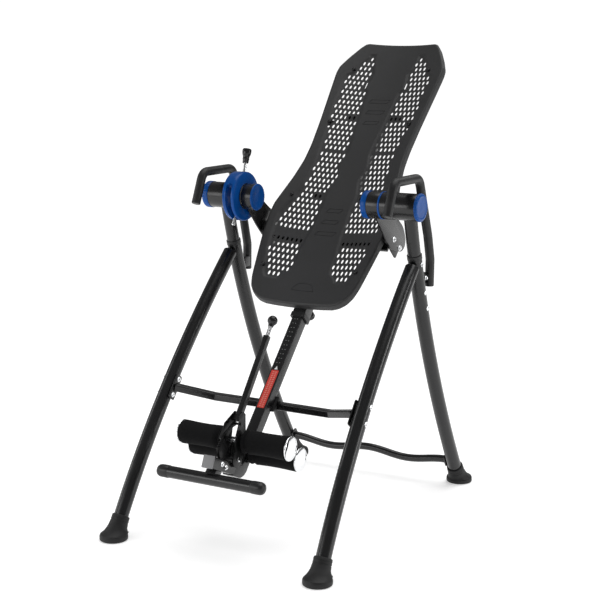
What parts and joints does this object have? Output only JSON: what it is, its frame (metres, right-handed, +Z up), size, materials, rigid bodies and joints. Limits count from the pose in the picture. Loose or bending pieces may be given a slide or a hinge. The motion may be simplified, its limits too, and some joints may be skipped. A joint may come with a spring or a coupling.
{
  "type": "inversion table",
  "caption": "Tilting inversion table: a tubular steel A-frame carries a perforated moulded backrest, a sliding boom with a foot bar, and a lever-locked foam ankle clamp.",
  "frame": {"origin": "on the floor, at the middle of the footprint", "axes": "+Z up, +X to the right of someone facing the machine from its foot bar, -Y towards the foot bar end, +Y towards the head end of the backrest"},
  "size_m": [0.88, 1.4215, 1.6314],
  "materials": {
    "black_paint": "gloss black powder coat",
    "satin_black_plastic": "satin, moulded",
    "black_grip": "satin vinyl skin",
    "black_foam": "matte foam sleeve",
    "black_rubber": "matte",
    "blue_plastic": "gloss royal blue",
    "white_nylon": "natural nylon",
    "chrome": "mirror chrome",
    "zinc_steel": "dull zinc",
    "grey_plastic": "satin grey",
    "gloss_black_plastic": "gloss black"
  },
  "bodies": {
    "frame": {"front_leg_left": "black_paint", "front_leg_right": "black_paint", "rear_leg_left": "black_paint", "rear_leg_right": "black_paint", "upright_left": "black_paint", "upright_right": "black_paint", "front_foot_left": "black_rubber", "front_foot_right": "black_rubber", "rear_foot_left": "black_rubber", "rear_foot_right": "black_rubber", "front_stretcher": "black_paint", "boom_bumper": "black_rubber", "rear_crossbar": "black_paint", "handle_left": "black_grip", "handle_right": "black_grip", "pivot_housing_left": "black_paint", "pivot_housing_right": "black_paint", "pivot_bush_left": "white_nylon", "pivot_bush_right": "white_nylon", "outer_cap_left": "blue_plastic", "outer_cap_right": "blue_plastic", "bearing_ring": "blue_plastic", "selector_drum": "blue_plastic"},
    "table": {"pivot_drum_left": "black_paint", "pivot_drum_right": "black_paint", "inner_cap_left": "blue_plastic", "inner_cap_right": "blue_plastic", "hinge_arm_left": "black_paint", "hinge_arm_right": "black_paint", "pivot_beam": "black_paint", "backrest_frame": "black_paint", "spine_sleeve": "black_paint", "sleeve_collar": "satin_black_plastic", "backrest": "satin_black_plastic"},
    "boom": {"boom": "black_paint", "footrest_stem": "black_paint", "stem_plug": "grey_plastic", "foot_bar": "black_paint", "foot_bar_cap_left": "satin_black_plastic", "foot_bar_cap_right": "satin_black_plastic", "ratchet_quadrant": "zinc_steel", "lever_pivot_pin": "zinc_steel", "rear_axle": "zinc_steel", "rear_roller_left": "black_foam", "rear_roller_right": "black_foam", "rear_roller_cap_left": "chrome", "rear_roller_cap_right": "chrome"},
    "lever": {"lever_yoke": "black_paint", "ankle_lever": "black_paint", "front_axle": "zinc_steel", "front_roller_left": "black_foam", "front_roller_right": "black_foam", "front_roller_cap_left": "chrome", "front_roller_cap_right": "chrome"},
    "release": {"release_rod": "chrome", "ball_knob": "gloss_black_plastic"},
    "pawl": {"pawl": "zinc_steel"},
    "lock_pin": {"height_lock_pin": "gloss_black_plastic"},
    "selector": {"selector_lever": "chrome", "selector_knob": "gloss_black_plastic"}
  },
  "joints": [
    {"name": "table_tilt", "type": "hinge", "parent": "frame", "child": "table", "pos_m": [0, -0.0187, 1.1], "axis": [-1, 0, 0], "range_deg": [0, 135]},
    {"name": "height_slide", "type": "slide", "parent": "table", "child": "boom", "axis": [0, 0.6782, 0.7349], "range_m": [-0.1, 0.12]},
    {"name": "ankle_clamp", "type": "hinge", "parent": "boom", "child": "lever", "pos_m": [0, -0.54616, 0.31311], "axis": [1, 0, 0], "range_deg": [0, 34]},
    {"name": "release_pull", "type": "slide", "parent": "lever", "child": "release", "axis": [0, 0.6074, 0.7944], "range_m": [0, 0.008], "stiffness_N_per_m": 400, "springref_m": -0.012},
    {"name": "pawl_lift", "type": "hinge", "parent": "lever", "child": "pawl", "pos_m": [0, -0.51954, 0.42367], "axis": [1, 0, 0], "range_deg": [-13, 0.5]},
    {"name": "height_lock_pull", "type": "slide", "parent": "table", "child": "lock_pin", "axis": [0, 0.7349, -0.6782], "range_m": [0, 0.012], "stiffness_N_per_m": 600, "springref_m": -0.005},
    {"name": "tilt_limit_select", "type": "hinge", "parent": "frame", "child": "selector", "pos_m": [0, -0.0187, 1.1], "axis": [-1, 0, 0], "range_deg": [0, 60]}
  ],
  "couplings": [
    {"joint": "pawl_lift", "follows": "release_pull", "rad_per_m": -26}
  ]
}
